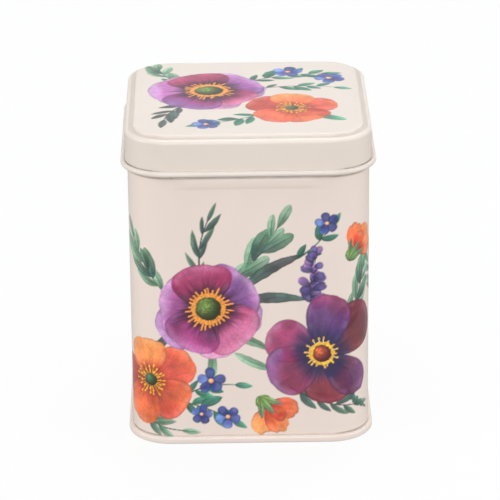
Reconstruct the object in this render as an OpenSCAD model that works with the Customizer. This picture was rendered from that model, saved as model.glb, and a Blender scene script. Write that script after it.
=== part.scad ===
// Square talcum powder tin with a slip-over lid and a sifter insert.
// Origin: centre of the foot, Z up, front towards -Y. Everything is in millimetres.
// Each rim, curl and fold is one flat section swept round the four sides and corners.

/* [Body] */
// Width and depth of the body across its flat walls
body_w = 72; // [60:1:90]
// Outside radius of the body's upright corners
corner_r = 12; // [9:0.5:16]
// Height from the foot to the top of the lid
overall_h = 98.5; // [70:0.5:130]
// Thickness of the tinplate
sheet = 0.3; // [0.25:0.05:0.35]

/* [Foot] */
// How far the bottom seam stands out from the walls
seam_out = 1.3; // [1.1:0.1:1.8]
// Height of the bottom seam
seam_h = 2.3; // [2:0.1:3]
// Height of the recessed bottom panel's underside above the ground
base_recess = 1.9; // [1.2:0.1:4]

/* [Stop bead] */
// Height of the bead pressed into each flat wall
bead_h = 4.2; // [3:0.2:6]
// How far that bead stands out
bead_out = 0.45; // [0.3:0.05:0.6]
// Length over which each end of the bead fades out
bead_fade = 7; // [4:1:10]

/* [Lid] */
// Height from the lid's top down to the middle of the curl
curl_drop = 11.2; // [8:0.1:16]
// Outside radius of the curl
curl_r = 0.85; // [0.7:0.05:1.2]
// Gap between the body and the lid's skirt
lid_gap = 0.35; // [0.3:0.05:0.5]
// Radius of the lid's shoulder
shoulder_r = 1.2; // [1.1:0.1:2.5]
// Width of the flat ledge between the shoulder and the panel
ledge_w = 1; // [0.5:0.1:2.5]
// How far the panel stands above the ledge round it
panel_rise = 0.95; // [0.6:0.05:1.2]
// Run of the slope from the ledge up to the panel
panel_slope = 0.4; // [0.3:0.1:1.5]

/* [Sifter] */
// Depth of the sifter tray below the body's edge
tray_depth = 7; // [5:0.5:12]
// Thickness of the tray's sheet
tray_t = 0.25; // [0.2:0.05:0.3]
// Radius of the raised perforated boss
boss_r = 22; // [16:1:26]
// Height of that boss
boss_rise = 1.2; // [0.8:0.1:2]
// Diameter of each sifter hole
hole_d = 2.2; // [1.6:0.2:3]
// Rings of holes round the middle one
hole_rings = 3; // [1:1:3]
// Distance between rings
ring_step = 5.4; // [4.5:0.1:6]

/* [Lock seam] */
// Width of the folded seam down the back
lock_w = 4.5; // [3:0.5:7]
// Depth of the crease beside the seam
crease = 0.12; // [0.08:0.02:0.2]

/* [Hidden] */
$fn = 64;

cream = [0.93, 0.88, 0.83];
tinplate = [0.74, 0.74, 0.72];

// Centres of the four corner arcs lie at +-core. Sections are drawn with X measured
// outwards from there, so X = corner_r is the outside of the body.
core = body_w / 2 - corner_r;
// Smallest gap left between two sheets that are folded together or rest on each other
nip = 0.05;
// Gap between pieces that slide past each other
clear = 0.3;

// Lid
lid_in = corner_r + lid_gap;
lid_out = lid_in + sheet;
ledge_z = overall_h - panel_rise;
shoulder_z = ledge_z - shoulder_r;
curl_z = overall_h - curl_drop;
shoulder_x = lid_out - shoulder_r;
slope_foot = shoulder_x - ledge_w;
slope_top = slope_foot - panel_slope;

// The body's edge, with the sifter's flange on it, keeps clear of the lid's inner shoulder
inner_r = shoulder_r - sheet;
edge_reach = corner_r - shoulder_x;
edge_z = shoulder_z + sqrt(pow(inner_r - clear, 2) - pow(edge_reach, 2)) - tray_t - nip;

// Stop bead: a cylinder of bead_cyl radius that breaks through the wall
bead_cyl = (pow(bead_h / 2, 2) + pow(bead_out, 2)) / (2 * bead_out);
bead_z = curl_z - curl_r - clear - bead_h / 2;

// Seam
seam_x = corner_r + seam_out;
seam_round = min(seam_h * 0.36, seam_out * 0.6);
chuck_x = corner_r - sheet - nip;

// One flat section swept round the four sides and corners
module sweep() {
    for (k = [0 : 3]) rotate([0, 0, 90 * k]) translate([core, core, 0]) {
        rotate_extrude(angle = 90) children();
        rotate([90, 0, 0]) linear_extrude(2 * core) children();
    }
}

// Upright rounded square block, r being the corner radius
module block(r, z0, z1) {
    translate([0, 0, z0]) linear_extrude(z1 - z0) {
        square([2 * (core + r), 2 * core], center = true);
        square([2 * core, 2 * (core + r)], center = true);
        for (x = [-core, core]) for (y = [-core, core]) translate([x, y]) circle(r);
    }
}

// Band of sheet between radius r - t and r, from angle a0 to a1 (under 180 degrees)
module arc(r, t, a0, a1) {
    far = 4 * r;
    mid = (a0 + a1) / 2;
    intersection() {
        difference() {
            circle(r);
            circle(r - t);
        }
        polygon([
            [0, 0],
            far * [cos(a0), sin(a0)],
            far * [cos(mid), sin(mid)],
            far * [cos(a1), sin(a1)]
        ]);
    }
}

// The bead on one wall, grown by g: a cylinder along the wall with a cone at each end
module bead_solid(g) {
    straight = 2 * (core - bead_fade);
    r = bead_cyl + g;
    small = bead_cyl - bead_out + g;
    translate([0, bead_cyl - bead_out - body_w / 2, bead_z]) rotate([0, 90, 0]) {
        translate([0, 0, -straight / 2]) cylinder(h = straight, r = r);
        for (s = [0, 1]) mirror([0, 0, s])
            translate([0, 0, straight / 2]) cylinder(h = bead_fade, r1 = r, r2 = small);
    }
}

module body_wall() {
    foot = sheet + nip;
    reach = seam_x - seam_round - corner_r;
    color(cream) difference() {
        union() {
            block(corner_r, foot, edge_z);
            // flange that the bottom's rim is rolled round
            block(corner_r + reach, foot, foot + sheet);
            for (k = [0 : 3]) rotate([0, 0, 90 * k]) intersection() {
                bead_solid(0);
                translate([-core, -body_w, 0]) cube([2 * core, body_w - 5, overall_h]);
            }
        }
        difference() {
            union() {
                block(corner_r - sheet, -1, overall_h);
                for (k = [0 : 3]) rotate([0, 0, 90 * k]) bead_solid(-sheet);
            }
            // the folded seam stands inside the back wall
            translate([-lock_w / 2, body_w / 2 - 3 * sheet, base_recess + 4 * sheet])
                cube([lock_w, 3 * sheet, edge_z - tray_depth - base_recess - 8 * sheet]);
        }
        // crease beside the seam
        translate([lock_w / 2, body_w / 2 - crease, seam_h + 2 * nip])
            cube([3 * crease, 1, overall_h]);
    }
}

module base_end() {
    color(cream) {
        // recessed panel
        translate([0, 0, base_recess]) linear_extrude(sheet)
            square(2 * core, center = true);
        sweep() {
            translate([0, base_recess]) square([chuck_x, sheet]);
            translate([chuck_x - sheet, 0]) square([sheet, base_recess + sheet]);
            translate([chuck_x - sheet, 0])
                square([seam_x - seam_round - chuck_x + sheet, sheet]);
            translate([seam_x - seam_round, seam_round]) arc(seam_round, sheet, -90, 0);
            translate([seam_x - sheet, seam_round])
                square([sheet, seam_h - 2 * seam_round]);
            translate([seam_x - seam_round, seam_h - seam_round])
                arc(seam_round, sheet, 0, 90);
            translate([corner_r + nip, seam_h - sheet])
                square([seam_x - seam_round - corner_r - nip, sheet]);
        }
    }
}

module sifter_insert() {
    floor_z = edge_z + nip - tray_depth;
    wall_x = corner_r - sheet - clear;
    color(tinplate) difference() {
        union() {
            block(corner_r, edge_z + nip, edge_z + nip + tray_t);
            block(wall_x, floor_z, edge_z + nip + tray_t);
        }
        difference() {
            block(wall_x - tray_t, floor_z + tray_t, overall_h);
            cylinder(h = floor_z + boss_rise + tray_t, r = boss_r);
        }
        cylinder(h = floor_z + boss_rise, r = boss_r - tray_t);
        translate([0, 0, floor_z]) {
            cylinder(h = 2 * boss_rise + 1, d = hole_d);
            for (k = [1 : hole_rings]) for (i = [0 : 6 * k - 1]) rotate([0, 0, 60 * i / k])
                translate([k * ring_step, 0, 0]) cylinder(h = 2 * boss_rise + 1, d = hole_d);
        }
    }
}

module lid() {
    // how far the slope's underside lags its top, for an even thickness round both bends
    lag = sheet * tan(atan2(panel_rise, panel_slope) / 2);
    color(cream) {
        // raised panel
        translate([0, 0, overall_h - sheet]) linear_extrude(sheet)
            square(2 * core, center = true);
        sweep() {
            translate([0, overall_h - sheet]) square([slope_top, sheet]);
            polygon([
                [slope_top, overall_h],
                [slope_foot, ledge_z],
                [slope_foot, ledge_z - sheet],
                [slope_foot - lag, ledge_z - sheet],
                [slope_top - lag, overall_h - sheet],
                [slope_top - lag, overall_h]
            ]);
            translate([slope_foot, ledge_z - sheet]) square([ledge_w, sheet]);
            translate([shoulder_x, shoulder_z]) arc(shoulder_r, sheet, 0, 90);
            translate([lid_in, curl_z]) square([sheet, shoulder_z - curl_z]);
            // outward curl, open by a slit against the skirt
            translate([lid_in + curl_r, curl_z]) {
                arc(curl_r, sheet, -180, -60);
                arc(curl_r, sheet, -60, 60);
                arc(curl_r, sheet, 60, 120);
            }
        }
    }
}

body_wall();
base_end();
sifter_insert();
lid();
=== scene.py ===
import math

import bpy
import numpy as np
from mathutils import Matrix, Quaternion, Vector
from mathutils.geometry import delaunay_2d_cdt


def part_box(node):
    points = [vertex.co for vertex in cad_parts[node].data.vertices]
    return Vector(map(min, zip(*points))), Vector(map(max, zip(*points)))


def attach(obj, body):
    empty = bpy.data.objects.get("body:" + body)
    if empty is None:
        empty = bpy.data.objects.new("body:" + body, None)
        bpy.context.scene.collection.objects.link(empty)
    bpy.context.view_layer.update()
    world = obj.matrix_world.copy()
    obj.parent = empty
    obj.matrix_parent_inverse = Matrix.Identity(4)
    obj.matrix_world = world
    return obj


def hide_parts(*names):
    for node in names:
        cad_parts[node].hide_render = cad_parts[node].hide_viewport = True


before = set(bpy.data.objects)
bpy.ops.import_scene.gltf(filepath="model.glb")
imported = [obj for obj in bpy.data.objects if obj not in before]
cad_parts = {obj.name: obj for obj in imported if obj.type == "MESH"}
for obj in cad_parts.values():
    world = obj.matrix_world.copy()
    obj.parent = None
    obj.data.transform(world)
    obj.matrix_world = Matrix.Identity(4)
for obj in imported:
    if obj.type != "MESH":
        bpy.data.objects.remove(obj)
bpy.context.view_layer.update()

# ---------------------------------------------------------------- watercolour
def srgb(*c):
    """A colour from 8-bit values."""
    return np.array(c, float) / 255


def hash01(ix, iy, seed):
    """A repeatable number from 0 to 1 for each whole-number grid point."""
    h = (ix * 374761393 + iy * 668265263 + int(seed) * 362437) & 0xFFFFFFFF
    h = ((h ^ (h >> 13)) * 1274126177) & 0xFFFFFFFF
    return ((h ^ (h >> 16)) & 0xFFFFFF) / float(0x1000000)


def noise(x, y, seed):
    """Smooth value noise from 0 to 1."""
    ix, iy = np.floor(x), np.floor(y)
    fx, fy = x - ix, y - iy
    fx, fy = fx * fx * (3 - 2 * fx), fy * fy * (3 - 2 * fy)
    ix, iy = ix.astype(np.int64), iy.astype(np.int64)
    low = hash01(ix, iy, seed) * (1 - fx) + hash01(ix + 1, iy, seed) * fx
    top = hash01(ix, iy + 1, seed) * (1 - fx) + hash01(ix + 1, iy + 1, seed) * fx
    return low * (1 - fy) + top * fy


def fbm(x, y, seed, octaves=3):
    """Noise with finer noise added on top."""
    total, weight = 0.0, 0.0
    for k in range(octaves):
        total = total + noise(x * 2**k, y * 2**k, seed + 31 * k) / 2**k
        weight += 1 / 2**k
    return total / weight


def smooth(lo, hi, x):
    """An eased step from 0 at lo to 1 at hi."""
    t = np.clip((x - lo) / (hi - lo), 0, 1)
    return t * t * (3 - 2 * t)


def blend(a, b, t):
    """Colour a at t = 0, colour b at t = 1."""
    t = np.asarray(t)[..., None]
    return a * (1 - t) + b * t


class Print:
    """Points of a printed sheet, in millimetres, with the ink laid on each so far."""

    def __init__(self, u, v, wrap=None):
        self.u, self.v, self.wrap = u, v, wrap
        self.ink, self.cover = np.zeros((len(u), 3)), np.zeros(len(u))

    def near(self, x, y, reach):
        du = self.u - x
        if self.wrap:
            du = (du + self.wrap / 2) % self.wrap - self.wrap / 2
        dv = self.v - y
        m = np.nonzero((abs(du) < reach) & (abs(dv) < reach))[0]
        return m, du[m], dv[m]

    def lay(self, m, colour, alpha):
        a = np.clip(alpha, 0, 1)
        self.ink[m] = self.ink[m] * (1 - a[:, None]) + np.clip(colour, 0, 1) * a[:, None]
        self.cover[m] = self.cover[m] * (1 - a) + a


EDGE = 0.22  # softness of an ink edge, mm


def wash(colour, e, du, dv, seed, rim=0.22, grain=0.07):
    """Watercolour on a shape: e is the distance in from its edge, in mm."""
    pool = fbm(du * 0.2 + seed, dv * 0.2, seed + 3)
    c = colour * (1 + 0.45 * (pool[:, None] - 0.5))
    c = c * (1 + grain * 2 * (noise(du * 3.1, dv * 3.1, seed + 7)[:, None] - 0.5))
    uneven = smooth(0.3, 0.75, noise(du * 0.45 + 9, dv * 0.45, seed + 5))
    dark = (0.35 + uneven) * rim * np.exp(-((e / 0.32) ** 2))
    pale = (0.02 + 0.11 * uneven) * np.exp(-(((e - 1.1) / 0.9) ** 2))
    c = c * (1 - dark[:, None])
    return c + (1 - c) * pale[:, None]


def petal(cv, x, y, ang, length, width, tones, seed, ruffle=0.05):
    """A petal growing from x, y. tones: its heart, body, tip and a second wash."""
    m, du, dv = cv.near(x, y, length * 1.2)
    if not len(m):
        return
    c, s = math.cos(ang), math.sin(ang)
    a, b = (du * c + dv * s) / length, (-du * s + dv * c) / width
    th = np.arctan2(b, a - 0.54)
    q = np.hypot((a - 0.54) / 0.48, b / np.clip(0.6 + 0.58 * a, 0.35, 1.15))
    q = q - ruffle * 2.4 * (noise(th * 1.3 + seed, th * 0 + 3.7, seed) - 0.5)
    q = q - ruffle * 0.7 * (noise(th * 5.1 + seed, th * 0 + 1.3, seed + 1) - 0.5)
    e = (1 - q) * min(width, 0.5 * length)
    r, phi = np.hypot(du, dv), np.arctan2(dv, du)
    t = a + 0.4 * (fbm(du * 1.4 / length + seed, dv * 1.4 / length, seed + 2) - 0.5)
    col = blend(tones[0], tones[1], smooth(0.15, 0.63, t))
    col = blend(col, tones[2], smooth(0.62, 1.05, t))
    second = smooth(0.4, 0.65, fbm(du / length - seed, dv / length + 5, seed + 11))
    col = blend(col, tones[3], 0.75 * second * smooth(0.2, 0.7, t))
    vein = fbm(phi * 13, r * 0.15 + seed, seed + 5, 3) - 0.5
    col = col * (1 + (0.34 - 0.22 * np.clip(t, 0, 1))[:, None] * vein[:, None])
    cv.lay(m, wash(col, e, du, dv, seed), 0.97 * smooth(-EDGE / 2, EDGE, e))


def ring_of(cv, x, y, r, n, tone_sets, seed, turn=0.0, width=0.5, long=1.0, ruffle=0.05,
            vary=1.0):
    """A ring of n petals, laid in an order that leaves each tucked under a neighbour."""
    rnd = np.random.RandomState(seed)
    jog = vary * rnd.uniform(-0.13, 0.13, n)
    ln, wd = 1 + vary * rnd.uniform(-0.1, 0.06, n), 1 + vary * rnd.uniform(-0.1, 0.1, n)
    for i in [*range(0, n, 2), *range(1, n, 2)]:
        petal(cv, x, y, turn + 2 * math.pi * i / n + jog[i], r * long * ln[i],
              r * width * wd[i], tone_sets[i % len(tone_sets)], seed + 17 * i, ruffle)


def stamens(cv, x, y, r0, r1, n, line, tip, seed, thick=0.26, bead=0.42):
    """Fine filaments from r0 to r1 with a bead on each."""
    m, du, dv = cv.near(x, y, r1 * 1.4)
    r, phi = np.hypot(du, dv), np.arctan2(dv, du) + math.pi
    k = np.floor(phi / (2 * math.pi) * n)
    ik = k.astype(np.int64)
    mid = (k + 0.5 + 0.5 * (hash01(ik, ik * 0, seed) - 0.5)) / n * 2 * math.pi
    end = r1 * (0.82 + 0.3 * hash01(ik, ik * 0 + 1, seed))
    bow = 0.25 * (hash01(ik, ik * 0 + 2, seed) - 0.5) * (r - r0)
    side = (phi - mid) * r + bow
    stem = smooth(thick, thick * 0.4, abs(side)) * (r > r0 * 0.9) * (r < end)
    dot = smooth(bead, bead * 0.55, np.hypot(side, (r - end) * 0.62))
    cv.lay(m, line * (0.9 + 0.2 * noise(du * 2, dv * 2, seed)[:, None]), 0.95 * stem)
    cv.lay(m, tip * (0.85 + 0.3 * noise(du * 2, dv * 2, seed + 1)[:, None]), 0.97 * dot)


def halo(cv, x, y, r, colour, seed, strength=0.85):
    """Dark rays that bleed outwards from a flower's middle."""
    m, du, dv = cv.near(x, y, r * 1.5)
    rr, phi = np.hypot(du, dv), np.arctan2(dv, du)
    ray = fbm(phi * 9, rr * 0.1, seed, 3) + 0.5 * noise(phi * 31, rr * 0.2, seed + 4)
    cv.lay(m, np.broadcast_to(colour, (len(m), 3)),
           strength * smooth(1.25, 0.45, rr / r - 0.55 * (ray - 0.75)))


def dome(cv, x, y, r, dark, light, seed):
    """The round middle of a flower, lit from the upper left."""
    m, du, dv = cv.near(x, y, r * 1.3)
    rr = np.hypot(du, dv * 1.05)
    e = r - rr + 0.1 * r * (noise(du * 1.1, dv * 1.1, seed) - 0.5)
    lit = smooth(1.25, 0.0, np.hypot(du + 0.32 * r, dv - 0.32 * r) / r)
    spots = smooth(0.55, 0.75, noise(du * 2.6, dv * 2.6, seed + 2))
    col = blend(dark, light, np.clip(lit * (0.75 + 0.5 * spots), 0, 1))
    cv.lay(m, col * (1 - 0.35 * np.exp(-((e / 0.3) ** 2)))[:, None], smooth(0, EDGE, e))


def hoop(cv, x, y, r, thick, colour, seed):
    """An uneven ring of ink."""
    m, du, dv = cv.near(x, y, r + 3 * thick)
    rr, phi = np.hypot(du, dv), np.arctan2(dv, du)
    w = thick * (0.7 + 0.9 * noise(phi * 6, phi * 0, seed))
    col = colour * (0.85 + 0.3 * noise(du * 2.2, dv * 2.2, seed + 1)[:, None])
    cv.lay(m, col, 0.95 * smooth(w, w * 0.6, abs(rr - r)))


def leaf(cv, x, y, ang, length, width, tones, seed, bend=0.0, vein=0.5, teeth=0.0, n_teeth=9,
         blunt=0.0):
    """A leaf from x, y. tones: base, tip, and the colour of the midrib."""
    m, du, dv = cv.near(x, y, length * 1.15)
    if not len(m):
        return
    c, s = math.cos(ang), math.sin(ang)
    a, b = (du * c + dv * s) / length, -du * s + dv * c
    ta = np.clip(a, 0, 1)
    b = b - bend * length * ta * ta
    shape = 1.95 * ta**0.75 * (1 - ta) ** (0.85 - 0.45 * blunt)
    if teeth:
        shape = shape * (1 - teeth * ((ta * n_teeth - 0.12 * abs(b) / width * n_teeth) % 1))
    e = width * shape - abs(b) - 0.12 * width * (noise(du * 0.7, dv * 0.7, seed + 9) - 0.5)
    e = np.where((a < 0) | (a > 1), -1.0, e)
    col = blend(tones[0], tones[1], smooth(0.1, 0.9, a + 0.35 * (fbm(du * .3, dv * .3, seed) - .5)))
    half = np.where(b > 0, 0.10, -0.08)
    col = col * (1 + half[:, None])
    col = wash(col, e, du, dv, seed, rim=0.1)
    mid = vein * smooth(0.26, 0.1, abs(b)) * smooth(0.98, 0.55, a)
    col = blend(col, tones[2], mid)
    cv.lay(m, col, 0.96 * smooth(-EDGE / 2, EDGE, e))


def bez(p0, p1, p2, t):
    """A point on the curve from p0 to p2 that bends towards p1."""
    t = np.asarray(t, float)[..., None]
    return (1 - t) ** 2 * np.array(p0) + 2 * t * (1 - t) * np.array(p1) + t * t * np.array(p2)


def stem(cv, p0, p1, p2, w0, w1, colour, seed):
    """A curved stalk through three points."""
    pts = bez(p0, p1, p2, np.linspace(0, 1, 15))
    x, y = pts.mean(0)
    m, du, dv = cv.near(x, y, np.ptp(pts, 0).max() / 2 + 3)
    if not len(m):
        return
    best, along = np.full(len(m), 1e9), np.zeros(len(m))
    for i in range(14):
        ax, ay = pts[i] - (x, y)
        bx, by = pts[i + 1] - (x, y)
        dx, dy = bx - ax, by - ay
        t = np.clip(((du - ax) * dx + (dv - ay) * dy) / (dx * dx + dy * dy), 0, 1)
        d = np.hypot(du - ax - t * dx, dv - ay - t * dy)
        near = d < best
        best[near], along[near] = d[near], (i + t[near]) / 14
    w = w0 + (w1 - w0) * along
    col = colour * (0.88 + 0.3 * noise(du * 0.9, dv * 0.9, seed)[:, None])
    cv.lay(m, col, 0.94 * smooth(0.1, -0.1, best - w))


def spray(cv, p0, p1, p2, n, length, width, tones, seed, open_=0.75, stalk=0.35, vein=0.6, **kw):
    """Pairs of leaflets along a curved stalk, largest in the middle, and one at its end."""
    rnd = np.random.RandomState(seed)
    stem(cv, p0, p1, p2, stalk, stalk * 0.45, tones[0][2], seed)
    for i in range(n):
        for side in (1, -1):
            t = 0.16 + (0.78 * i + rnd.uniform(-0.3, 0.3)) / max(n, 1)
            x, y = bez(p0, p1, p2, t)
            d = bez(p0, p1, p2, t + 0.02) - (x, y)
            head = math.atan2(d[1], d[0])
            size = (0.6 + 0.5 * math.sin(math.pi * (0.15 + 0.7 * t))) * rnd.uniform(0.72, 1.2)
            leaf(cv, x, y, head + side * open_ * rnd.uniform(0.7, 1.2), length * size,
                 width * size * rnd.uniform(0.8, 1.15), tones[rnd.randint(len(tones))],
                 seed + 13 * i + side, bend=-side * rnd.uniform(0.05, 0.26), vein=vein, **kw)
    x, y = bez(p0, p1, p2, 1.0)
    d = np.array(p2) - bez(p0, p1, p2, 0.94)
    leaf(cv, x - d[0], y - d[1], math.atan2(d[1], d[0]), length * 0.95, width * 0.9, tones[0],
         seed + 5, vein=vein, **kw)


# ---------------------------------------------------------------- palette
PLUM, LILAC = srgb(78, 34, 66), srgb(190, 140, 192)
PINK, ROSE, VIOLET = srgb(206, 120, 160), srgb(168, 62, 100), srgb(122, 88, 150)
INDIGO, CRIMSON, BURG = srgb(56, 48, 92), srgb(186, 52, 78), srgb(112, 42, 52)
ORANGE, CORAL, RUST, AMBER = (srgb(236, 116, 66), srgb(226, 92, 70), srgb(172, 58, 44),
                              srgb(248, 158, 88))
YELLOW, CREAM = srgb(246, 190, 62), srgb(250, 226, 190)
GOLD = srgb(244, 158, 66)
BLUE, SKY, NAVY = srgb(66, 84, 160), srgb(112, 146, 214), srgb(48, 52, 116)
SAGE, MOSS, PINE, SMOKE = (srgb(134, 170, 142), srgb(92, 134, 104), srgb(50, 88, 78),
                           srgb(62, 64, 68))
TEAL, SEA, LIME, OLIVE = (srgb(28, 106, 84), srgb(74, 154, 120), srgb(136, 166, 84),
                          srgb(70, 84, 44))

MAGENTA = [(PLUM, srgb(150, 80, 146), LILAC, VIOLET),
           (PLUM, srgb(150, 46, 88), srgb(184, 84, 130), ROSE),
           (PLUM, srgb(170, 88, 152), srgb(208, 158, 210), LILAC),
           (PLUM, srgb(156, 60, 120), srgb(196, 124, 176), VIOLET),
           (PLUM, srgb(166, 58, 102), srgb(208, 112, 150), PINK)]
MAUVE = [(PLUM, srgb(150, 92, 156), srgb(204, 158, 210), LILAC),
         (PLUM, srgb(180, 96, 150), srgb(218, 170, 210), PINK)]
DUSK = [(INDIGO * 0.9, srgb(112, 40, 58), srgb(122, 44, 58), BURG),
        (INDIGO, srgb(96, 56, 112), srgb(150, 56, 104), VIOLET),
        (INDIGO, srgb(168, 60, 110), PINK, VIOLET),
        (INDIGO, srgb(138, 44, 84), CRIMSON * 0.9, VIOLET),
        (INDIGO, srgb(160, 44, 76), CRIMSON, BURG),
        (INDIGO, srgb(98, 50, 98), srgb(120, 62, 112), BURG)]
FLAME = [(RUST, CORAL, srgb(232, 104, 62), RUST), (RUST, ORANGE, srgb(244, 156, 78), AMBER),
         (RUST, srgb(200, 66, 54), CORAL, RUST), (RUST, srgb(232, 106, 58), ORANGE, CORAL),
         (RUST, srgb(208, 66, 48), CORAL, ORANGE)]
LAVENDER = [(INDIGO, VIOLET, LILAC, VIOLET), (INDIGO, srgb(92, 80, 150), VIOLET, INDIGO)]
BLUES = [(NAVY, BLUE, SKY, NAVY), (NAVY, BLUE * 0.85, BLUE, NAVY), (BLUE, SKY, SKY, BLUE)]
GREENS = [(MOSS, SAGE, PINE), (PINE, MOSS, SMOKE), (MOSS, SAGE * 1.06, PINE)]
DARKS = [(PINE, SMOKE, SMOKE), (SMOKE, PINE, SMOKE), (SMOKE, SMOKE * 0.85, PINE)]
TWIGS = [(PINE, MOSS, SMOKE), (PINE * 0.9, PINE, SMOKE)]
FRESH = [(TEAL, SEA, PINE), (TEAL * 0.8, TEAL, PINE), (TEAL, TEAL * 1.15, PINE)]


# ---------------------------------------------------------------- flowers
def windflower(cv, x, y, r, seed, turn, n=5):
    """A big open flower with a green dome in a ring of orange stamens."""
    ring_of(cv, x, y, r, n, MAUVE, seed, turn + math.pi / n, width=0.46, ruffle=0.06)
    ring_of(cv, x, y, r, n, MAGENTA, seed + 3, turn, width=0.58, long=0.96, ruffle=0.07)
    halo(cv, x, y, r * 0.54, PLUM * 0.66, seed)
    stamens(cv, x, y, r * 0.25, r * 0.41, 29, GOLD, GOLD, seed, thick=0.42, bead=0.36)
    hoop(cv, x, y, r * 0.28, r * 0.04, GOLD * 0.97, seed)
    dome(cv, x, y, r * 0.245, OLIVE * 0.62, LIME, seed)


def duskflower(cv, x, y, r, seed, turn, n=6):
    """A dark flower of separate petals with a small rust eye in a yellow ring."""
    ring_of(cv, x, y, r, n, DUSK, seed, turn, width=0.40, ruffle=0.04, vary=1.7)
    halo(cv, x, y, r * 0.44, INDIGO * 0.85, seed, 0.8)
    stamens(cv, x, y, r * 0.17, r * 0.25, 17, CREAM, YELLOW, seed, thick=0.22, bead=0.4)
    hoop(cv, x, y, r * 0.175, r * 0.035, YELLOW, seed)
    dome(cv, x, y, r * 0.15, BURG * 0.8, ORANGE, seed)


def flameflower(cv, x, y, r, seed, turn, n=5):
    """A ruffled orange flower with a loose crown of yellow anthers."""
    ring_of(cv, x, y, r, n, FLAME, seed, turn, width=0.52, ruffle=0.07)
    halo(cv, x, y, r * 0.36, RUST * 0.8, seed, 0.55)
    for k, (a, b, cnt) in enumerate(((0.14, 0.34, 19), (0.12, 0.24, 15))):
        stamens(cv, x, y, r * a, r * b, cnt, YELLOW * 0.9, YELLOW, seed + k, thick=0.16, bead=0.36)
    dome(cv, x, y, r * 0.15, OLIVE * 0.7, MOSS, seed)


def bluet(cv, x, y, r, seed, turn):
    """A little five-petalled blue flower."""
    ring_of(cv, x, y, r, 5, BLUES, seed, turn, width=0.42, ruffle=0.03)
    dome(cv, x, y, r * 0.22, AMBER, CREAM, seed)


def bell(cv, x, y, r, ang, seed):
    """A half-open orange bloom seen from the side, with its green bud behind."""
    c, s = math.cos(ang), math.sin(ang)
    for k, da in enumerate((-0.8, 0.62, -0.1)):
        petal(cv, x, y, ang + da, r * (1.02 - 0.1 * abs(da)), r * 0.36, FLAME[(k * 2 + 1) % 4],
              seed + k, 0.14)
    petal(cv, x + c * r * 0.1, y + s * r * 0.1, ang + 0.25, r * 0.6, r * 0.24, FLAME[4], seed + 9, .1)
    dome(cv, x - c * r * 0.1, y - s * r * 0.1, r * 0.25, MOSS * 0.8, LIME * 1.15, seed)
    for da in (0.55, -0.55, 0.0):
        leaf(cv, x - c * r * 0.3, y - s * r * 0.3, ang + da, r * 0.72, r * 0.14,
             (LIME, MOSS, PINE), seed + 3, vein=0.5)


def plume(cv, p0, p1, p2, n, size, tones, seed):
    """A spike of many little florets."""
    rnd = np.random.RandomState(seed)
    stem(cv, p0, p1, p2, 0.35, 0.2, MOSS, seed)
    for i in range(n):
        t = 0.3 + 0.7 * i / n
        x, y = bez(p0, p1, p2, t)
        d = bez(p0, p1, p2, min(t + 0.02, 1.02)) - (x, y)
        head = math.atan2(d[1], d[0])
        s = size * (1.2 - 0.6 * t)
        petal(cv, x, y, head + rnd.uniform(-1.3, 1.3), s * rnd.uniform(0.8, 1.2), s * 0.36,
              tones[i % len(tones)], seed + i, 0.06)


def twig(cv, p0, p1, p2, n, r, seed):
    """A thin stalk with fresh leaflets."""
    spray(cv, p0, p1, p2, n, r * 1.4, r * 0.46, FRESH, seed, open_=0.85, stalk=0.28, vein=0.35)


def wall_art(cv):
    """The whole wall's print: x is the girth position, y the height, in mm."""
    other_walls(cv)
    # front: leaves behind, then the flowers
    spray(cv, (-8, 50), (2, 58), (9, 71), 4, 9.0, 1.9, GREENS, 22, open_=0.5, blunt=0.8)
    spray(cv, (-14, 52), (-17, 62), (-12, 73), 4, 7.5, 1.3, TWIGS, 23, open_=0.5)
    spray(cv, (-24, 48), (-31, 55), (-37, 66), 4, 8.0, 1.8, GREENS, 24, open_=0.5, blunt=0.6)
    leaf(cv, -2, 50, 0.85, 21, 3.0, DARKS[0], 19, bend=-0.32, vein=.3)
    leaf(cv, -2, 46, 0.28, 19, 2.8, DARKS[1], 20, bend=-0.26, vein=.3)
    leaf(cv, -22, 38, 3.9, 17, 2.3, DARKS[1], 21, bend=0.1, vein=.3)
    spray(cv, (26, 34), (33, 43), (36, 56), 4, 8.5, 1.7, GREENS, 25, open_=0.5, blunt=0.6)
    leaf(cv, 6, 30, 2.5, 17, 2.1, GREENS[0], 26, bend=0.3, blunt=.5)
    leaf(cv, 7, 24, 2.9, 13, 1.9, GREENS[2], 28, bend=-0.2, blunt=.5)
    leaf(cv, 27, 18, 5.4, 15, 2.3, (TEAL, PINE, SMOKE), 30, bend=0.16, teeth=.45, n_teeth=7)
    leaf(cv, -12, 33, 4.9, 17, 2.0, GREENS[2], 27, bend=-0.3, blunt=.7)
    twig(cv, (-22, 14), (-13, 12), (-5, 7), 3, 4.2, 32)
    twig(cv, (-20, 16), (-12, 20), (-4, 19), 2, 4.2, 33)
    twig(cv, (14, 60), (20, 63), (25, 71), 2, 3.8, 34)
    spray(cv, (12, 18), (20, 12), (33, 11), 4, 7.5, 1.8, TWIGS, 35, open_=0.6)
    spray(cv, (-34, 10), (-30, 5), (-20, 4), 2, 6.5, 1.7, GREENS, 36, open_=0.6)
    plume(cv, (19, 36), (17, 48), (20, 62), 26, 4.8, LAVENDER, 43)
    flameflower(cv, -30.5, 20.5, 14.5, 41, 0.62)
    duskflower(cv, 21.5, 29.0, 19.0, 61, 0.5)
    windflower(cv, -12.5, 44.0, 16.2, 42, 0.5)
    bell(cv, 4.5, 12.5, 10.5, -0.9, 45)
    bell(cv, 31.5, 61.0, 9.5, 0.9, 46)
    bluet(cv, -12.0, 20.5, 4.4, 47, 0.3)
    bluet(cv, -7.0, 8.5, 4.0, 48, 0.9)
    bluet(cv, -15.0, 9.5, 3.3, 49, 0.1)
    bluet(cv, 23.0, 71.0, 3.6, 50, 0.6)


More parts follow.
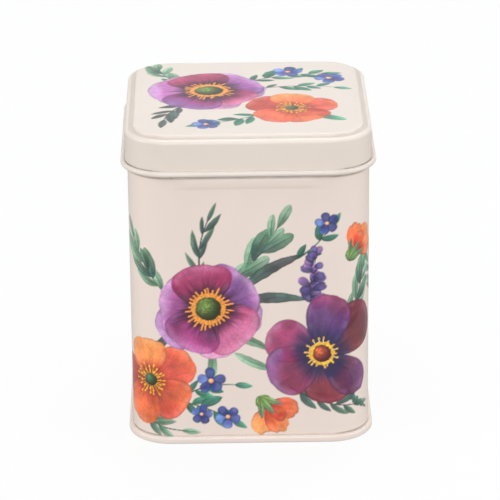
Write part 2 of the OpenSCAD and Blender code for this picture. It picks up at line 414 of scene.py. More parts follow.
def fan(cv, x, y, reach, angles, seed):
    """Leafy sprays spreading from behind a flower, at angles in degrees."""
    for i, deg in enumerate(angles):
        a = math.radians(deg)
        tip = (x + reach * math.cos(a), y + reach * math.sin(a))
        knee = (x + 0.55 * reach * math.cos(a + 0.3), y + 0.55 * reach * math.sin(a + 0.3))
        spray(cv, (x, y), knee, tip, 5, reach * 0.34, reach * 0.062, (GREENS, DARKS)[i % 2],
              seed + i, open_=0.52, blunt=0.5 * (1 - i % 2))


def other_walls(cv):
    """The flowers on the right, back and left sides."""
    # right
    fan(cv, 66, 38, 33, (108, 62, 146, -62), 100)
    plume(cv, (80, 40), (88, 54), (86, 73), 26, 4.2, LAVENDER, 111)
    leaf(cv, 60, 30, -2.3, 22, 2.4, (PINE, SAGE, PINE), 112, bend=0.16, vein=.3)
    twig(cv, (70, 26), (78, 20), (90, 22), 4, 3.2, 113)
    bell(cv, 51, 22, 11.0, -2.0, 114)
    windflower(cv, 65, 40, 16.5, 115, 0.4)
    bluet(cv, 80.5, 14.5, 4.3, 116, 0.5)
    bluet(cv, 90, 21.5, 3.8, 117, 0.1)
    bluet(cv, 72, 9.5, 3.4, 118, 0.8)
    # back
    fan(cv, 119, 54, 30, (64, 20, 112), 130)
    fan(cv, 146, 32, 30, (84, 30, -140), 140)
    duskflower(cv, 116, 53, 19.0, 151, 0.6)
    flameflower(cv, 144, 31, 15.5, 152, 0.1)
    twig(cv, (132, 24), (124, 16), (112, 17), 4, 3.2, 153)
    bell(cv, 159, 14, 9.0, -0.6, 154)
    bluet(cv, 122, 17.5, 4.3, 155, 0.4)
    bluet(cv, 111, 15.5, 3.6, 156, 0.9)
    bluet(cv, 129, 8.5, 3.8, 157, 0.0)
    plume(cv, (150, 44), (153, 60), (146, 74), 24, 4.0, LAVENDER, 158)
    # left
    fan(cv, 197, 52, 31, (118, 165, 60, -80), 170)
    leaf(cv, 188, 34, 4.0, 22, 2.0, (MOSS, PINE, PINE), 174, bend=0.1, teeth=0.45, n_teeth=11)
    windflower(cv, 194, 53, 15.5, 175, 0.9)
    twig(cv, (196, 36), (190, 24), (178, 22), 4, 3.2, 176)
    bell(cv, 207, 31, 10.5, -1.9, 177)
    bluet(cv, 186.5, 22.5, 4.3, 178, 0.2)
    bluet(cv, 176.5, 20.5, 3.8, 179, 0.7)
    bluet(cv, 196, 12.5, 4.0, 180, 0.4)


def lid_art(cv):
    """The flowers on the lid's panel, in mm from its middle."""
    spray(cv, (-20, 14), (-26, 20), (-27, 28), 3, 7.5, 2.0, GREENS, 60, open_=0.6, blunt=0.6)
    spray(cv, (-18, -6), (-24, -12), (-25, -21), 3, 8.0, 2.2, DARKS, 61, open_=0.6)
    twig(cv, (0, 14), (10, 22), (25, 22), 4, 5.0, 62)
    twig(cv, (4, 8), (16, 12), (28, 8), 3, 4.6, 66)
    twig(cv, (4, -16), (-4, -22), (-14, -25), 3, 4.6, 67)
    leaf(cv, 20, -16, -0.7, 11, 2.6, FRESH[0], 68, bend=0.12, vein=.4, blunt=.5)
    flameflower(cv, 13.5, -10.5, 14.0, 63, 0.3)
    windflower(cv, -11.5, 6.5, 18.0, 64, 0.55)
    bluet(cv, 13.0, 24.0, 4.8, 65, 0.2)
    bluet(cv, 25.5, 17.5, 5.0, 69, 0.8)
    bluet(cv, -12.5, -24.5, 4.4, 70, 0.5)
# ---------------------------------------------------------------- sizes, in mm
MM = 0.001


def box_mm(node):
    """A CAD node's box in millimetres."""
    lo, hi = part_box(node)
    return np.array(lo) / MM, np.array(hi) / MM


LID_LO, LID_HI = box_mm("lid")
TRAY_LO, TRAY_HI = box_mm("sifter_insert")
_, BASE_HI = box_mm("base_end")
_, WALL_HI = box_mm("body_wall")
BODY_W = TRAY_HI[0] - TRAY_LO[0]
TOP, RIM_Z = LID_HI[2], WALL_HI[2]
SHEET, NIP, CLEAR = 0.3, 0.05, 0.3
CORNER = BODY_W / 6
CORE = BODY_W / 2 - CORNER
SEAM_OUT, SEAM_H = BASE_HI[0] - BODY_W / 2, BASE_HI[2]
SEAM_R = SEAM_OUT * 0.6
PAN_Z = 1.9
LID_GAP, CURL_R = 0.35, 0.85
LID_OUT = LID_GAP + SHEET
CURL_Z = LID_LO[2] + CURL_R
PANEL_RISE, SLOPE_RUN, LEDGE_W, SHOULDER_R = 0.95, 0.2, 1.2, 1.2
LEDGE = TOP - PANEL_RISE
BEAD_H, BEAD_OUT, BEAD_FADE = 4.2, 0.45, 7.0
BEAD_Z = CURL_Z - CURL_R - SHEET - BEAD_H / 2
TRAY_T, BOSS_R, BOSS_RISE = 0.25, 22.0, 1.2
TRAY_Z = TRAY_LO[2]
HOLE_R, HOLE_RINGS, RING_STEP = 1.1, 3, 5.4
LOCK_W = 4.5
BACK = 2  # which wall has the lock seam
SHADE_BROWN = (0.15, 0.10, 0.065)  # brown painted shade for crevices and under the lid's curl, linear
SPLIT = 1.5  # how far into the next flat wall each wall panel starts
WALL_CELLS, FINE = (64, 90), 4  # coarse cells along and up a wall panel; fine cells in each
LID_CELLS = 216  # cells across the lid's panel
CURL_STEPS = 21  # points round the curl
BODIES = {"tin_body": ("body_wall", "base_end"), "tin_sifter": ("sifter_insert",),
          "tin_lid": ("lid",)}
SIDE = 2 * CORE + math.pi / 2 * CORNER
GIRTH = 4 * SIDE


# ---------------------------------------------------------------- shapes
def around(u, out):
    """Plan position of the point at girth u (0 in the middle of the front), out from the wall."""
    u, out = np.broadcast_arrays(np.asarray(u, float), np.asarray(out, float))
    w = (u + CORE) % GIRTH
    side = np.floor(w / SIDE)
    w = w - side * SIDE
    turn = np.clip((w - 2 * CORE) / CORNER, 0, None)
    run = np.minimum(w, 2 * CORE) - CORE
    reach = CORNER + out
    x = run + reach * np.sin(turn)
    y = -CORE - reach * np.cos(turn)
    a = side * math.pi / 2
    c, s = np.round(np.cos(a)), np.round(np.sin(a))
    return x * c - y * s, x * s + y * c


def turned(u):
    """How far round its corner the girth position u is: 0 on a flat wall, 1 mid-corner."""
    w = (u + CORE) % SIDE
    return np.clip(1 - abs(w - 2 * CORE - SIDE / 2 + CORE) / (SIDE / 2 - CORE), 0, 1)


def arc(x, z, r, a0, a1, n):
    """Points on an arc, angles in degrees."""
    a = np.radians(np.linspace(a0, a1, n))
    return [(x + r * math.cos(t), z + r * math.sin(t)) for t in a]


def rounded(path, radii, n=5):
    """A path of (x, z) points with each inner corner i rounded to radii[i]."""
    p = [np.array(q, float) for q in path]
    made = [tuple(p[0])]
    for i in range(1, len(p) - 1):
        r = radii[i - 1]
        if not r:
            made.append(tuple(p[i]))
            continue
        a, b = p[i - 1] - p[i], p[i + 1] - p[i]
        a, b = a / np.linalg.norm(a), b / np.linalg.norm(b)
        half = math.acos(np.clip(a @ b, -1, 1)) / 2
        cut = r / math.tan(half)
        q0, q2 = p[i] + a * cut, p[i] + b * cut
        mid = p[i] + (a + b) / np.linalg.norm(a + b) * (r / math.sin(half))
        t0 = math.atan2(*(q0 - mid)[::-1])
        sweep = (math.atan2(*(q2 - mid)[::-1]) - t0 + math.pi) % (2 * math.pi) - math.pi
        made += [tuple(mid + r * np.array([math.cos(t0 + sweep * k / n),
                                           math.sin(t0 + sweep * k / n)]))
                 for k in range(n + 1)]
    return made + [tuple(p[-1])]


class Shell:
    """Vertices and faces of one piece, in mm, gathered before its mesh is made."""

    def __init__(self):
        self.verts, self.faces, self.flat, self.slot = [], [], [], []
        self.count = 0

    def add(self, xyz):
        """Adds points and returns their indices, in the shape given."""
        xyz = np.asarray(xyz, float)
        ids = np.arange(self.count, self.count + xyz[..., 0].size).reshape(xyz.shape[:-1])
        self.verts.append(xyz.reshape(-1, 3))
        self.count += ids.size
        return ids

    def quads(self, ids, close=False, slot=0, flat=False, flip=False):
        """Quads over a grid of indices; close joins the last column to the first."""
        if close:
            ids = np.concatenate([ids, ids[:, :1]], 1)
        a, b, c, d = ids[:-1, :-1], ids[:-1, 1:], ids[1:, 1:], ids[1:, :-1]
        q = np.stack([a, d, c, b] if flip else [a, b, c, d], -1).reshape(-1, 4)
        self.put(q.tolist(), slot, flat)

    def put(self, faces, slot=0, flat=False):
        self.faces += faces
        self.flat += [flat] * len(faces)
        self.slot += [slot] * len(faces)

    def loops(self, us, path, **kw):
        """Sweeps a section round the tin: path points are (out from the wall, height)."""
        rows = []
        for out, z in path:
            x, y = around(us, out)
            rows.append(np.stack([x, y, np.zeros_like(x) + z], -1))
        ids = self.add(np.array(rows))
        self.quads(ids, close=True, **kw)
        return ids

    def piece(self, name, materials, node, attributes=None):
        """Makes the mesh and its object, which stands in for the CAD node."""
        mesh = bpy.data.meshes.new(name)
        co = np.concatenate(self.verts)
        mesh.from_pydata((co * MM).tolist(), [], self.faces)
        mesh.polygons.foreach_set("material_index", self.slot)
        mesh.polygons.foreach_set("use_smooth", [not f for f in self.flat])
        corner_edge = np.zeros(len(mesh.loops), np.int32)
        mesh.loops.foreach_get("edge_index", corner_edge)
        sizes = np.array([len(f) for f in self.faces])
        sharp = np.zeros(len(mesh.edges), bool)
        sharp[corner_edge[np.repeat(np.array(self.flat, bool), sizes)]] = True
        mesh.edges.foreach_set("use_edge_sharp", sharp)
        for key, (kind, values) in (attributes or {}).items():
            attr = mesh.attributes.new(key, kind, "POINT")
            attr.data.foreach_set("vector" if kind == "FLOAT_VECTOR" else "value",
                                  np.asarray(values, np.float32).ravel())
        for m in materials:
            mesh.materials.append(m)
        mesh.validate()
        mesh.update()
        obj = bpy.data.objects.new(name, mesh)
        bpy.context.scene.collection.objects.link(obj)
        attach(obj, next(b for b, group in BODIES.items() if node in group))
        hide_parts(node)
        return obj


def inks(u, v, art, wrap=None):
    """The print's attributes at points u, v: premultiplied linear ink, and its cover."""
    cv = Print(u, v, wrap)
    art(cv)
    cover = cv.cover[:, None]
    tone = np.where(cover > 1e-4, cv.ink / np.maximum(cover, 1e-4), 0)
    linear = np.where(tone <= 0.04045, tone / 12.92, ((tone + 0.055) / 1.055) ** 2.4)
    return linear * cover, cv.cover


def lay_painted_shade(ink, cover, amount):
    """Lays brown painted shade over the print's attributes, where shade falls in a crevice or under
    the curl.
    """
    a = amount[..., None]
    return ink * (1 - a) + np.array(SHADE_BROWN) * a, cover * (1 - amount) + amount


def marks(ink, cover, count):
    """The print, with any painted shade laid over it, as mesh attributes, with bare points added up
    to count.
    """
    pad = count - len(cover)
    return {"ink": ("FLOAT_VECTOR", np.concatenate([ink, np.zeros((pad, 3))])),
            "cover": ("FLOAT", np.concatenate([cover, np.zeros(pad)]))}


# ---------------------------------------------------------------- body wall
def bead(u, z):
    """How far the stop bead stands out at a point of the wall."""
    along = abs(((u + SIDE / 2) % SIDE) - SIDE / 2)
    fade = smooth(CORE, CORE - BEAD_FADE, along)
    rise = np.clip(1 - abs(z - BEAD_Z) / (BEAD_H / 2), 0, 1)
    return BEAD_OUT * fade * rise * (2 - rise) * smooth(0, 0.3, rise)


def wall_panel(k, name, materials):
    """One side of the body with the corner to its right: print outside, tinplate inside."""
    u = SPLIT - CORE + k * SIDE + np.linspace(0, SIDE, WALL_CELLS[0] * FINE + 1)
    z = np.linspace(SEAM_H - 0.3, RIM_Z, WALL_CELLS[1] * FINE + 1)
    U, Z = np.meshgrid(u, z)
    out = bead(U, Z)
    if k == BACK:
        seam = U - (BACK * SIDE + LOCK_W / 2)
        out = out - 0.13 * np.exp(-((seam / 0.22) ** 2)) + 0.1 * smooth(0.3, -0.3, seam) * smooth(
            -LOCK_W - 1.2, -LOCK_W, seam)
    shell = Shell()
    x, y = around(U, out)
    skin = shell.add(np.stack([x, y, Z], -1))
    shell.quads(skin)
    Ui, Zi = U[::FINE, ::FINE], Z[::FINE, ::FINE]
    fold = 0.0
    if k == BACK:
        fold = 2 * SHEET * smooth(LOCK_W / 2 + 0.6, LOCK_W / 2, abs(Ui - BACK * SIDE))
        fold = fold * smooth(RIM_Z - 8.2, RIM_Z - 8.8, Zi)
    x, y = around(Ui, bead(Ui, Zi) - SHEET - fold)
    back = shell.add(np.stack([x, y, Zi], -1))
    shell.quads(back, slot=1, flip=True)

    def rim(outer, inner, flip):
        """Faces across the sheet's thickness, each with one coarse and several fine edges."""
        made = []
        for i in range(len(inner) - 1):
            f = [*outer[i * FINE:(i + 1) * FINE + 1], inner[i + 1], inner[i]]
            made.append([int(j) for j in (f[::-1] if flip else f)])
        shell.put(made, slot=1, flat=True)

    rim(skin[0], back[0], True)
    rim(skin[-1], back[-1], False)
    rim(skin[:, 0], back[:, 0], False)
    rim(skin[:, -1], back[:, -1], True)
    ink, cover = inks(U.ravel(), Z.ravel(), wall_art, GIRTH)
    if k == BACK:
        bare = smooth(0.32, 0.12, abs(U.ravel() - (BACK * SIDE + LOCK_W / 2)))
        ink, cover = ink * (1 - bare[:, None]), cover * (1 - bare)
    # painted shade laid over the print, unevenly strong along its length
    uneven = 0.8 + 0.35 * noise(U.ravel() * 0.35, Z.ravel() * 0.5, 91)
    curl_bottom = CURL_Z - CURL_R
    # painted shade on the wall just under the lid's curl
    line = 0.5 * smooth(curl_bottom - 1.3, curl_bottom - 0.85, Z) * smooth(curl_bottom + 0.5, curl_bottom + 0.1, Z)
    # painted shade in the crevice above the foot seam, stronger round the corners
    line += (0.12 + 0.40 * smooth(0.05, 0.5, turned(U))) * smooth(SEAM_H + 0.55, SEAM_H + 0.1, Z)
    ink, cover = lay_painted_shade(ink, cover, line.ravel() * uneven)
    return shell.piece(name, materials, "body_wall",
                       marks(ink, cover, shell.count))


def ring_us(flat_step, corner_n):
    """Girth positions of a swept ring: sparse on the flats, close in the corners."""
    n = max(2, round(2 * CORE / flat_step))
    flat = np.linspace(0, 2 * CORE, n, endpoint=False)
    bend = 2 * CORE + np.linspace(0, SIDE - 2 * CORE, corner_n, endpoint=False)
    one = np.concatenate([flat, bend]) - CORE
    return np.concatenate([one + k * SIDE for k in range(4)])


def foot(materials):
    """The bottom: a recessed panel whose rim is rolled round the body's flange."""
    inner = -SHEET - NIP
    out = [(0.0, SEAM_H - 0.28), (0.0, SEAM_H - 0.06), (0.12, SEAM_H)]
    out += arc(SEAM_OUT - SEAM_R, SEAM_H - SEAM_R, SEAM_R, 88, 0, 9)
    out += arc(SEAM_OUT - SEAM_R, SEAM_R, SEAM_R, 0, -90, 9)
    out += rounded([(0.2, 0), (inner - SHEET, 0), (inner - SHEET, PAN_Z), (-5, PAN_Z)],
                   [0.3, 0.3])
    out += [(-5.3, PAN_Z), (-5.9, PAN_Z + 0.35), (-6.4, PAN_Z + 0.4), (-9, PAN_Z + 0.4)]
    back = [(-9, PAN_Z + SHEET + 0.4), (-6.4, PAN_Z + SHEET + 0.4), (-5.3, PAN_Z + SHEET)]
    back += [(inner, PAN_Z + SHEET), (inner, SEAM_H - 0.28)]
    shell = Shell()
    us = ring_us(4, 28)
    a = shell.loops(us, out, flip=True)
    b = shell.loops(us, back, flip=True)
    shell.quads(np.stack([b[-1], a[0]]), close=True, flat=True, flip=True)
    shell.put([a[-1].tolist()[::-1]])
    shell.put([b[0].tolist()])
    return shell.piece("foot_seam", materials, "base_end")


# ---------------------------------------------------------------- lid
def lid_cap(materials):
    """The lid: a panel of fine mesh for its print, then the section swept out to the curl."""
    n = LID_CELLS
    foot_x = LID_OUT - SHOULDER_R - LEDGE_W
    top_x = foot_x - SLOPE_RUN
    edge = top_x - 0.5
    i, j = np.meshgrid(np.arange(n + 1), np.arange(n + 1))
    s, t = i / n * 2 - 1, j / n * 2 - 1
    m = np.maximum(abs(s), abs(t))
    d = np.where(m > 0, m, 1)
    front, right, back = (t == -m), (s == m), (t == m)
    run = np.select([front, right, back], [s / d, t / d, -s / d], -t / d)
    side = np.select([front, right, back], [0, 1, 2], 3)
    x, y = around((side + run / 2) * SIDE, edge)
    panel = np.stack([x * m, y * m, np.zeros_like(x) + TOP], -1)
    shell = Shell()
    ids = shell.add(panel)
    shell.quads(ids)
    rim = np.concatenate([ids[0, :-1], ids[:-1, -1], ids[-1, :0:-1], ids[:0:-1, 0]])
    us = np.concatenate([(k - 0.5 + np.arange(n) / n) * SIDE for k in range(4)])
    path = rounded([(edge, TOP), (top_x, TOP), (foot_x, LEDGE),
                    (foot_x + LEDGE_W / 2, LEDGE)], [0.3, 0.2], 4)[1:]
    path += arc(LID_OUT - SHOULDER_R, LEDGE - SHOULDER_R, SHOULDER_R, 90, 0, 9)
    tuck = math.degrees(math.acos((LID_OUT - LID_GAP - CURL_R) / CURL_R))
    skirt_end = CURL_Z + CURL_R * math.sin(math.radians(tuck))
    top_skirt = LEDGE - SHOULDER_R
    zs = np.concatenate([np.linspace(top_skirt, skirt_end + 4, 4)[1:],
                         np.linspace(skirt_end + 4, skirt_end, 9)[1:]])
    path += [(LID_OUT, z) for z in zs]
    n_plain = len(path)
    curl = arc(LID_GAP + CURL_R, CURL_Z, CURL_R, tuck, -180, CURL_STEPS)[1:]
    path += curl
    inner = [(LID_GAP, CURL_Z + 1), (LID_GAP, top_skirt - 0.1)]
    inner += arc(LID_OUT - SHOULDER_R, top_skirt, SHOULDER_R - SHEET, 0, 84, 4)
    inner += [(foot_x - 0.2, LEDGE - SHEET), (top_x - 0.2, TOP - SHEET), (top_x - 2, TOP - SHEET)]
    rows = []
    bend = turned(us)
    for k, (out, z) in enumerate(path + inner):
        o = np.zeros_like(us) + out
        if n_plain - 12 < k < n_plain:      # the drawn corners pucker just above the curl
            near = smooth(skirt_end + 4.2, skirt_end + 0.3, z)
            ripple = np.sin(us * 2 * math.pi / 0.95) * smooth(0.12, 0.5, bend)
            o = o + 0.055 * near * ripple * (0.5 + noise(us * 0.9, us * 0, 77))
        elif n_plain <= k < n_plain + len(curl) - 4:
            lift = np.sin(us * 2 * math.pi / 1.9 + 1) * smooth(0.1, 0.5, bend)
            o = o + 0.03 * lift
        x, y = around(us, o)
        rows.append(np.stack([x, y, np.zeros_like(x) + z], -1))
    swept = shell.add(np.array(rows))
    grid = np.concatenate([rim[None], swept])
    cut = len(path) + 1
    shell.quads(grid[:cut], close=True, flip=True)
    shell.quads(grid[cut - 1:], close=True, slot=1, flip=True)
    shell.put([swept[-1].tolist()[::-1]], slot=1)
    flat = panel.reshape(-1, 3)
    ink, cover = inks(flat[:, 0], flat[:, 1], lid_art)
    painted_shade = np.zeros(swept.shape)
    painted_shade[5:12] = 0.19                   # painted shade on the slope's foot, where the panel's riser meets the ledge
    # painted shade in the crevice where the skirt meets the curl, darker round the corners
    painted_shade[n_plain - 1:n_plain + 2] = 0.10 + 0.6 * smooth(0.08, 0.5, bend) * (
        0.6 + 0.6 * noise(us * 0.8, us * 0, 92))
    # painted shade on the curl's underside
    below = np.linspace(tuck, -180, CURL_STEPS)[1:]
    painted_shade[n_plain:n_plain + len(curl)] += 0.5 * (
        smooth(-28, -62, below) * smooth(-150, -110, below))[:, None]
    cover = np.concatenate([cover, painted_shade.ravel()])
    ink = np.concatenate([ink, painted_shade.reshape(-1, 1) * np.array(SHADE_BROWN)])
    return shell.piece("lid_cap", materials, "lid",
                       marks(ink, cover, shell.count))


# ---------------------------------------------------------------- sifter
def sifter(materials):
    """The pressed tray in the mouth, with its perforated raised boss."""
    wall = -SHEET - CLEAR - TRAY_T
    us = ring_us(3, 24)
    x, y = around(us, wall - 0.8)
    loops = [(np.stack([x, y], -1), TRAY_Z + TRAY_T)]
    th = np.linspace(0, 2 * math.pi, 97)[:-1]
    circle = np.stack([np.cos(th), np.sin(th)], -1)
    for r, lift in ((BOSS_R + 0.35, 0), (BOSS_R, 0.12), (BOSS_R - 0.5, BOSS_RISE - 0.14),
                    (BOSS_R - 0.9, BOSS_RISE), (BOSS_R - 1.6, BOSS_RISE)):
        loops.append((circle * r, TRAY_Z + TRAY_T + lift))
    holes = [(0.0, 0.0)]
    for k in range(1, HOLE_RINGS + 1):
        holes += [(k * RING_STEP * math.cos(math.pi / 3 * i / k),
                   k * RING_STEP * math.sin(math.pi / 3 * i / k)) for i in range(6 * k)]
    ring = circle[::4]
    top = TRAY_Z + TRAY_T + BOSS_RISE
    for hx, hy in holes:
        loops.append((ring * (HOLE_R + 0.3) + (hx, hy), top))
        loops.append((ring * (HOLE_R + 0.08) + (hx, hy), top - 0.05))
        loops.append((ring * HOLE_R + (hx, hy), top - 0.14))
    pts, edges, zs = [], [], []
    for loop, z in loops:
        n0 = len(pts)
        pts += [tuple(p) for p in loop]
        zs += [z] * len(loop)
        edges += [(n0 + i, n0 + (i + 1) % len(loop)) for i in range(len(loop))]
    vs, _, fs, origin, _, _ = delaunay_2d_cdt([Vector(p) for p in pts], edges, [], 1, 1e-6)
    z_of = [zs[o[0]] if o else top for o in origin]
    faces = []
    for f in fs:
        c = sum((vs[i] for i in f), Vector((0, 0))) / len(f)
        if all((c.x - hx) ** 2 + (c.y - hy) ** 2 > (HOLE_R * 0.98) ** 2 for hx, hy in holes):
            faces.append(list(f))
    shell = Shell()
    shell.add(np.array([(v.x, v.y, z) for v, z in zip(vs, z_of)]))
    shell.put(faces)
    path = arc(wall - 0.8, TRAY_Z + TRAY_T + 0.8, 0.8, -78, 0, 6)
    path += [(wall, RIM_Z - 0.5)] + arc(wall + 0.5, RIM_Z - 0.5 + NIP + TRAY_T, 0.5, 180, 95, 6)
    path += [(-0.02, RIM_Z + NIP + TRAY_T)]
    start = np.array([nearest(vs, p) for p in loops[0][0]])
    ids = shell.add(np.array([np.stack([*around(us, o), np.zeros_like(us) + z], -1)
                              for o, z in path]))
    shell.quads(np.concatenate([start[None], ids]), close=True, flip=True)
    obj = shell.piece("sifter_tray", materials, "sifter_insert")
    thick = obj.modifiers.new("sheet", "SOLIDIFY")
    thick.thickness, thick.offset = TRAY_T * MM, -1
    return obj


def nearest(vs, p):
    """Index of the triangulated vertex at p."""
    return min(range(len(vs)), key=lambda i: (vs[i].x - p[0]) ** 2 + (vs[i].y - p[1]) ** 2)


# ---------------------------------------------------------------- materials
def node_tree(name):
    """A new material, its node tree and its shader."""
    m = bpy.data.materials.new(name)
    m.use_nodes = True
    nt = m.node_tree
    shader = nt.nodes["Principled BSDF"]
    return m, nt, shader


def link(nt, a, b):
    """Joins output a to input b."""
    nt.links.new(a, b)


def coords(nt):
    """Object coordinates, in metres."""
    return nt.nodes.new("ShaderNodeTexCoord").outputs["Object"]


def noise_node(nt, at, scale, detail=3.0, rough=0.55):
    """Noise over the points at."""
    n = nt.nodes.new("ShaderNodeTexNoise")
    n.inputs["Scale"].default_value = scale
    n.inputs["Detail"].default_value = detail
    n.inputs["Roughness"].default_value = rough
    link(nt, at, n.inputs["Vector"])
    return n.outputs["Fac"]


def ramp(nt, fac, first, last):
    """Colours over fac, from one stop to the other; a stop is a position and a colour."""
    r = nt.nodes.new("ShaderNodeValToRGB")
    for end, (pos, col) in zip(r.color_ramp.elements, (first, last)):
        end.position, end.color = pos, (*col, 1)
    link(nt, fac, r.inputs["Fac"])
    return r.outputs["Color"]


def ranged(nt, fac, lo, hi, f0=0.3, f1=0.7):
    """fac's range f0 to f1 mapped to lo to hi."""
    r = nt.nodes.new("ShaderNodeMapRange")
    for key, v in (("From Min", f0), ("From Max", f1), ("To Min", lo), ("To Max", hi)):
        r.inputs[key].default_value = v
    link(nt, fac, r.inputs["Value"])
    return r.outputs["Result"]


def mix(nt, kind, fac, a, b):
    """Colours a and b blended in the given way; each may be a socket or a value."""
    n = nt.nodes.new("ShaderNodeMix")
    n.data_type, n.blend_type = "RGBA", kind
    for value, slot in ((fac, n.inputs["Factor"]), (a, n.inputs[6]), (b, n.inputs[7])):
        if isinstance(value, bpy.types.NodeSocket):
            link(nt, value, slot)
        else:
            slot.default_value = value
    return n.outputs[2]


def bump(nt, height, strength, distance):
    """A normal raised by height."""
    n = nt.nodes.new("ShaderNodeBump")
    n.inputs["Strength"].default_value = strength
    n.inputs["Distance"].default_value = distance
    link(nt, height, n.inputs["Height"])
    return n.outputs["Normal"]


def lacquer(name, base, printed):
    """Stoving lacquer with a faint orange peel, and under it the print and painted shade from the
    mesh's attributes.
    """
    m, nt, shader = node_tree(name)
    at = coords(nt)
    tone = ramp(nt, noise_node(nt, at, 45, 4), (0.3, tuple(0.98 * c for c in base)),
                (0.7, tuple(1.02 * c for c in base)))
    if printed:
        # the ink and cover attributes hold the print and, in places, painted shade laid over it
        ink = nt.nodes.new("ShaderNodeAttribute")
        ink.attribute_name = "ink"
        cover = nt.nodes.new("ShaderNodeAttribute")
        cover.attribute_name = "cover"
        grain = ramp(nt, noise_node(nt, at, 3800, 2, 0.6), (0.25, (0.86, 0.86, 0.86)),
                     (0.75, (1.10, 1.10, 1.10)))
        laid = mix(nt, "MULTIPLY", 1.0, ink.outputs["Color"], grain)
        tone = mix(nt, "MIX", cover.outputs["Fac"], tone, (0, 0, 0, 1))
        tone = mix(nt, "ADD", 1.0, tone, laid)
    link(nt, tone, shader.inputs["Base Color"])
    peel = noise_node(nt, at, 620, 2, 0.5)
    link(nt, ranged(nt, noise_node(nt, at, 160, 3), 0.30, 0.38), shader.inputs["Roughness"])
    link(nt, bump(nt, peel, 0.12, 0.00004), shader.inputs["Normal"])
    shader.inputs["IOR"].default_value = 1.45
    shader.inputs["Coat Weight"].default_value = 0.15
    shader.inputs["Coat Roughness"].default_value = 0.16
    return m


def tinplate(name, base=0.62):
    """Bare tinplate: dull silver with the faint flowery crystals of the tin coating."""
    m, nt, shader = node_tree(name)
    at = coords(nt)
    cells = nt.nodes.new("ShaderNodeTexVoronoi")
    cells.inputs["Scale"].default_value = 420
    link(nt, at, cells.inputs["Vector"])
    spangle = mix(nt, "MIX", 0.5, cells.outputs["Color"], noise_node(nt, at, 90, 5))
    bw = nt.nodes.new("ShaderNodeRGBToBW")
    link(nt, spangle, bw.inputs["Color"])
    fac = bw.outputs["Val"]
    link(nt, ramp(nt, fac, (0.25, (base, base * 0.985, base * 0.95)),
                  (0.75, (base + .06, base + .055, base + .04))), shader.inputs["Base Color"])
    shader.inputs["Metallic"].default_value = 1.0
    link(nt, ranged(nt, fac, 0.33, 0.40), shader.inputs["Roughness"])
    link(nt, bump(nt, noise_node(nt, at, 900, 3), 0.10, 0.00003), shader.inputs["Normal"])
    return m


def floor_paint():
    """The studio floor: near white by its own glow."""
    m, nt, shader = node_tree("studio_floor")
    tone = ramp(nt, noise_node(nt, coords(nt), 3, 2), (0.3, (0.060, 0.060, 0.060)),
                (0.7, (0.062, 0.062, 0.062)))
    link(nt, tone, shader.inputs["Base Color"])
    shader.inputs["Roughness"].default_value = 0.9
    shader.inputs["Specular IOR Level"].default_value = 0.0
    shader.inputs["Emission Color"].default_value = (1, 1, 1, 1)
    shader.inputs["Emission Strength"].default_value = GLOW
    return m


# ---------------------------------------------------------------- studio
def softbox(name, at, aim, size, radiance, tint):
    """A square area light of the given radiance that isn't seen itself."""
    lamp = bpy.data.lights.new(name, "AREA")
    lamp.color = tint
    lamp.shape, lamp.size = "SQUARE", size
    lamp.energy = radiance * math.pi * size * size
    obj = bpy.data.objects.new(name, lamp)
    obj.location = at
    obj.rotation_euler = (Vector(aim) - Vector(at)).to_track_quat("-Z", "Y").to_euler()
    obj.visible_camera = False
    bpy.context.scene.collection.objects.link(obj)


def studio():
    """Floor, surroundings, lamps and the view transform."""
    mesh = bpy.data.meshes.new("floor")
    r = FLOOR_REACH
    mesh.from_pydata([(-r, -r, 0), (r, -r, 0), (r, r, 0), (-r, r, 0)], [], [(0, 1, 2, 3)])
    mesh.materials.append(floor_paint())
    floor = bpy.data.objects.new("floor", mesh)
    bpy.context.scene.collection.objects.link(floor)
    floor.visible_diffuse = floor.visible_glossy = False
    world = bpy.data.worlds.new("studio")
    world.use_nodes = True
    nt = world.node_tree
    height = nt.nodes.new("ShaderNodeSeparateXYZ")
    link(nt, nt.nodes.new("ShaderNodeTexCoord").outputs["Generated"], height.inputs[0])
    walls = ranged(nt, height.outputs["Z"], HORIZON, WORLD, 0.02, 0.3)
    walls = mix(nt, "MULTIPLY", 1.0, walls, ranged(nt, height.outputs["Z"], BELOW, 1.0, -0.1, 0.0))
    back = nt.nodes["Background"]
    back.inputs["Color"].default_value = (1.0, 0.995, 0.985, 1)
    link(nt, walls, back.inputs["Strength"])
    bpy.context.scene.world = world
    centre = (0, 0, TOP / 2 * MM)
    for name, at, size, radiance, tint in LAMPS:
        softbox(name, at, centre, size, radiance, tint)
    view = bpy.context.scene.view_settings
    view.view_transform, view.look = "Standard", "None"


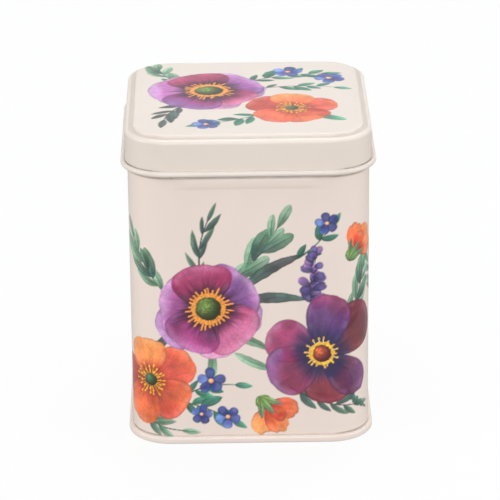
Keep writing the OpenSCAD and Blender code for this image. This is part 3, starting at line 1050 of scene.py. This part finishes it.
def camera(distance, elevation, yaw, roll, frame_width):
    """Looks at the tin's middle from the front, above."""
    cam = bpy.data.cameras.new("camera")
    obj = bpy.data.objects.new("camera", cam)
    aim = Vector((AIM_X, 0, TOP / 2 + AIM_Z)) * MM
    e, a = math.radians(elevation), math.radians(yaw)
    back = Vector((math.sin(a) * math.cos(e), -math.cos(a) * math.cos(e), math.sin(e)))
    obj.location = aim + back * distance * MM
    look = (-back).to_track_quat("-Z", "Y")
    obj.rotation_mode = "QUATERNION"
    obj.rotation_quaternion = look @ Quaternion((0, 0, 1), math.radians(roll))
    cam.sensor_width = 36
    cam.lens = 36 * distance / frame_width
    cam.clip_end = 100
    bpy.context.scene.collection.objects.link(obj)
    bpy.context.scene.camera = obj


# ---------------------------------------------------------------- build
# Surroundings: strength overhead and at the horizon, the share kept below it; the floor's glow
WORLD, HORIZON, BELOW, GLOW = 0.33, 1.1, 0.5, 0.915
FLOOR_REACH = 12.0
WHITE = (1, 1, 1)
# Softboxes: name, place in metres, width, radiance, tint
LAMPS = (("overhead", (0, 0.1, 1.5), 1.0, 3.2, (0.93, 1.0, 1.05)),
         ("front", (-0.02, -1.7, 0.6), 1.0, 4.15, WHITE),
         ("left", (-1.6, -0.45, 0.7), 1.0, 3.9, WHITE),
         ("right", (1.6, -0.45, 0.7), 1.0, 3.9, WHITE),
         ("rear", (0.3, 1.3, 1.5), 1.3, 2.2, WHITE))
AIM_X, AIM_Z = 0.5, -0.7  # what the camera looks at, from the tin's middle, mm

IVORY, PEARL = (0.745, 0.643, 0.580), (0.695, 0.618, 0.556)
print_lacquer, plain_lacquer = lacquer("ivory_print_and_painted_shade", IVORY, True), lacquer("ivory", IVORY, False)
lid_lacquer = lacquer("pearl_print_and_painted_shade", PEARL, True)
bare = tinplate("tinplate")
for k, name in enumerate(("wall_front", "wall_right", "wall_back", "wall_left")):
    wall_panel(k, name, [print_lacquer, bare])
foot([plain_lacquer])
lid_cap([lid_lacquer, bare])
sifter([bare])
studio()
camera(distance=936, elevation=21.6, yaw=-0.6, roll=-0.55, frame_width=154.8)
